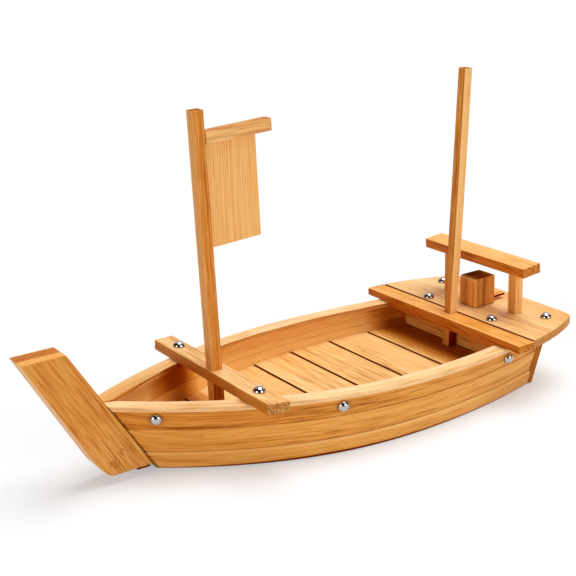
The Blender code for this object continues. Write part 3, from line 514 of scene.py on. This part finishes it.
# the stem's front face is toned lighter, a painted sheen over its real, stronger sheen, and its port face
# is browned higher up as painted shade
dress("stem", "stem", 43, STEM, tone=0.1, faces=((X, 0.5, 0.22, 0),), painted_shade=((Y, Z, 0.01, 0.07, 0.14),),
      crisp=35)
# painted light and shade on the thwarts, deck, beam, bar and tiller: faces turned to the bow or aft are
# toned and browned for the light on that side, the deck's top browned towards its port and aft edges, and
# the tiller's sides painted dark for the shade beside it
dress("front_thwart", "deck", 44, ATHWART, tone=-0.12, faces=((X, FLAT, 0.3, 0.7),))
dress("rear_thwart", "amber", 45, ATHWART, tone=0.03,
      faces=((X, FLAT, -0.12, 0.45), (-X, FLAT, -0.5, 1.2)))
dress("aft_deck", "deck", 46, ATHWART, tone=0.03, faces=((X, FLAT, -0.5, 1.2),),
      painted_shade=((Z, Y, 0.05, 0.11, 0.06), (Z, -X, 0.25, 0.28, 0.14)))
dress("deck_beam", "amber", 47, ATHWART, tone=-0.1, faces=((X, FLAT, 0, 0.5),))
dress("crossbar", "amber", 48, ATHWART, tone=0.2, faces=((X, FLAT, -0.2, 0.42),))
# the block's sides are toned for the light on them, and its rounded top front edge and near corner are
# painted lighter as painted highlights
dress("deck_block", "dark", 49, UPRIGHT,
      faces=((Z, 0.97, -0.12, 0), (X + Z, 1.1, 0.35, 0), (X + Y, 1.25, 0.35, 0),
             (X, FLAT, 0.25, 0.12), (Y, FLAT, 0.06, 0)))
dress("tiller", "amber", 50, BOARD, faces=((Y, 0.5, -0.2, 1.8),))
# painted light and shade on the masts: each side toned for the light on it, and the port face of each foot,
# under its thwart, painted dark for the shade there
dress("front_mast", "spar", 51, along_mast("front_mast"),
      faces=((X, FLAT, 0.45, 0.25), (Y, FLAT, -0.04, 0.1)), painted_shade=((Y, -Z, -0.072, -0.069, 0.6),))
dress("rear_mast", "spar", 52, along_mast("rear_mast"),
      faces=((X, FLAT, -0.3, 0), (Y, FLAT, 0.45, 0)), painted_shade=((Y, -Z, -0.066, -0.062, 1.8),))
dress("boom", "deck", 53, PLANK, tone=-0.1, faces=((Z, FLAT, -0.2, 0),))
dress("sail", "sail", 54, UPRIGHT, tone=0.1)
for node, slot in SLOTS.items():
    if slot == "polished_nickel":
        nail_head(node)


# Floor: white to the eye, with the boat's soft shadow, and pale grey to the light

def paper():
    """Matt white paper."""
    made = blank("matt white paper floor")
    tree = made.node_tree
    where = add(tree, "TexCoord").outputs["Object"]
    tooth = add(tree, "TexNoise", {0: where, "Scale": 1 / (8 * MM), "Detail": 2.0})
    fleck = add(tree, "Mix", {0: tooth.outputs[0], 6: colour("#E4E0D8"), 7: colour("#E8E4DC")},
                data_type="RGBA")
    pale = add(tree, "BsdfDiffuse", {"Color": fleck.outputs[2]})
    lit = add(tree, "BsdfDiffuse", {"Color": colour("#ECF0F5")})
    white = add(tree, "Emission", {"Color": colour("#FFFFFF"), "Strength": 1.0})
    seen = add(tree, "MixShader", {0: 0.4, 1: lit.outputs[0], 2: white.outputs[0]})
    path = add(tree, "LightPath").outputs
    look = add(tree, "Math", {0: path["Is Camera Ray"], 1: path["Is Glossy Ray"]}, operation="MAXIMUM")
    look = add(tree, "Math", {0: look.outputs[0], 1: path["Is Transmission Ray"]}, operation="MAXIMUM")
    sheet = add(tree, "MixShader", {0: look.outputs[0], 1: pale.outputs[0], 2: seen.outputs[0]})
    add(tree, "OutputMaterial", {0: sheet.outputs[0]})
    return made


FLOOR_HALF = 15.0
FLOOR_DROP = 0.3 * MM

bm = bmesh.new()
bmesh.ops.create_grid(bm, x_segments=8, y_segments=8, size=FLOOR_HALF)
bmesh.ops.translate(bm, vec=(0, 0, -FLOOR_DROP), verts=bm.verts)
mesh = bpy.data.meshes.new("studio_floor")
bm.to_mesh(mesh)
bm.free()
mesh.materials.append(paper())
floor = bpy.data.objects.new("studio_floor", mesh)
bpy.context.scene.collection.objects.link(floor)


# Light: a broad soft light overhead, a low one off the port side, a weaker one ahead, a pale backdrop

def soft_light(name, towards, strength, spread):
    """A far broad light, spread degrees wide; strength 1 lights a facing surface to its own colour."""
    lamp = bpy.data.lights.new(name, "SUN")
    lamp.energy = strength * math.pi
    lamp.angle = math.radians(spread)
    made = bpy.data.objects.new(name, lamp)
    made.rotation_euler = Vector(towards).to_track_quat("Z", "Y").to_euler()
    bpy.context.scene.collection.objects.link(made)


soft_light("overhead_light", (-0.20, 0.05, 0.98), 0.84, 46)
soft_light("side_light", (-0.292, 0.899, 0.326), 0.31, 36)
soft_light("bow_light", (0.933, 0.233, 0.276), 0.26, 32)

PALE_WALL = (-0.53, -0.63, 0.57)

world = bpy.data.worlds.new("studio room")
world.use_nodes = True
tree = world.node_tree
tree.nodes.clear()
round_about = add(tree, "TexCoord").outputs["Generated"]
behind = add(tree, "VectorMath", {0: round_about, 1: PALE_WALL}, operation="DOT_PRODUCT")
fill = add(tree, "MapRange", {"Value": behind.outputs["Value"], "From Min": -0.2, "From Max": 1.0,
                              "To Min": 0.06, "To Max": 0.4})
mirror = add(tree, "MapRange", {"Value": behind.outputs["Value"], "From Min": 0.5, "From Max": 0.85,
                                "To Min": 0.04, "To Max": 0.75})
path = add(tree, "LightPath").outputs
look = add(tree, "Math", {0: path["Is Glossy Ray"], 1: path["Is Transmission Ray"]}, operation="MAXIMUM")
level = add(tree, "Mix", {0: look.outputs[0], 2: fill.outputs[0], 3: mirror.outputs[0]})
level = add(tree, "Mix", {0: path["Is Camera Ray"], 2: level.outputs[0], 3: 1.0})
seen = add(tree, "Math", {0: path["Is Camera Ray"], 1: look.outputs[0]}, operation="MAXIMUM")
tint = add(tree, "Mix", {0: seen.outputs[0], 6: colour("#FFF0DC"), 7: colour("#FFFFFF")}, data_type="RGBA")
room = add(tree, "Background", {"Color": tint.outputs[2], "Strength": level.outputs[0]})
add(tree, "OutputWorld", {0: room.outputs[0]})
bpy.context.scene.world = world
bpy.context.scene.view_settings.view_transform = "Standard"


# Camera: off the port bow, a little above the boat, as in the photograph

CAMERA_AT = (0.64007, 0.9324, 0.5152)
AZIMUTH = math.radians(146.007)
ELEVATION = math.radians(18.2712)
ROLL = math.radians(1.8294)
FOCAL_PX = 1196.19
FRAME_PX = 576

lens = bpy.data.cameras.new("camera")
lens.sensor_width = 36
lens.lens = lens.sensor_width * FOCAL_PX / FRAME_PX
lens.clip_start = 0.01
camera = bpy.data.objects.new("camera", lens)
camera.matrix_world = (Matrix.Translation(CAMERA_AT) @ Matrix.Rotation(AZIMUTH, 4, "Z")
                       @ Matrix.Rotation(math.pi / 2 - ELEVATION, 4, "X")
                       @ Matrix.Rotation(-ROLL, 4, "Z"))
bpy.context.scene.collection.objects.link(camera)
bpy.context.scene.camera = camera
